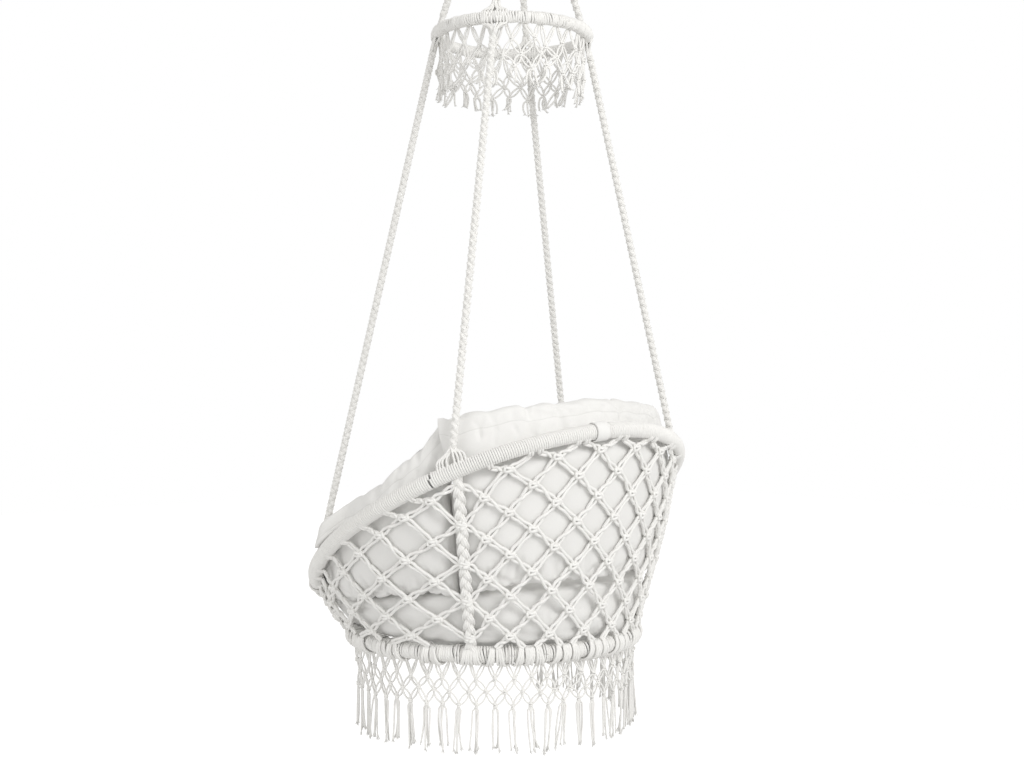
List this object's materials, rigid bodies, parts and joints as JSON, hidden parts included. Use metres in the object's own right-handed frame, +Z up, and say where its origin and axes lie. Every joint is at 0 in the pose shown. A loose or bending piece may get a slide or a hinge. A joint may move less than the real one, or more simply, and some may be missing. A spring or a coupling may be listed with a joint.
{
  "type": "macrame hanging swing chair",
  "caption": "Hanging swing chair: knotted cord net between a tilted rim hoop and a seat hoop, plaited ropes, spreader hoop, fringes, cushions and a swivel.",
  "frame": {"origin": "centre of the bore in the swivel's eye, from which the chair hangs", "axes": "+Z up, +Y towards the chair's back, +X to the sitter's left"},
  "size_m": [0.832, 0.7284, 2.1009],
  "materials": {
    "steel": "satin",
    "bronze": "satin",
    "hoop": "satin",
    "cord": "matte",
    "cushion": "matte"
  },
  "bodies": {
    "eye": {"swivel_eye": "steel"},
    "jaw": {"swivel_jaw": "steel", "thrust_washer": "bronze", "jaw_pin": "steel", "pin_clip": "steel"},
    "link": {"stirrup": "steel"},
    "chair": {"bight_left": "cord", "bight_right": "cord", "gather_wrap": "cord", "upper_rope_back_left": "cord", "upper_rope_back_right": "cord", "upper_rope_front_left": "cord", "upper_rope_front_right": "cord", "upper_fan_back_left": "cord", "upper_fan_back_right": "cord", "upper_fan_front_left": "cord", "upper_fan_front_right": "cord", "lower_rope_back_left": "cord", "lower_rope_back_right": "cord", "lower_rope_front_left": "cord", "lower_rope_front_right": "cord", "rim_fan_back_left": "cord", "rim_fan_back_right": "cord", "rim_fan_front_left": "cord", "rim_fan_front_right": "cord", "spreader_hoop": "hoop", "spreader_wrap": "cord", "spreader_fringe": "cord", "spreader_tassels": "cord", "rim_hoop": "hoop", "rim_wrap_back": "cord", "rim_wrap_left": "cord", "rim_wrap_right": "cord", "rim_wrap_front": "cord", "seat_hoop": "hoop", "seat_wrap": "cord", "rib_back_left": "cord", "rib_back_right": "cord", "rib_front_left": "cord", "rib_front_right": "cord", "net_back": "cord", "net_left": "cord", "net_right": "cord", "front_lacing": "cord", "seat_web": "cord", "seat_fringe": "cord", "seat_tassels": "cord", "seat_cushion": "cushion", "back_cushion": "cushion", "left_cushion": "cushion", "right_cushion": "cushion", "back_strap": "cushion"}
  },
  "joints": [
    {"name": "spin", "type": "hinge", "parent": "eye", "child": "jaw", "pos_m": [0, 0, -0.05], "axis": [0, 0, 1], "continuous": true},
    {"name": "sway", "type": "hinge", "parent": "jaw", "child": "link", "pos_m": [0, 0, -0.08], "axis": [0, 1, 0], "range_deg": [-20, 20]},
    {"name": "swing", "type": "hinge", "parent": "link", "child": "chair", "pos_m": [0, 0, -0.136], "axis": [1, 0, 0], "range_deg": [-35, 35]}
  ]
}
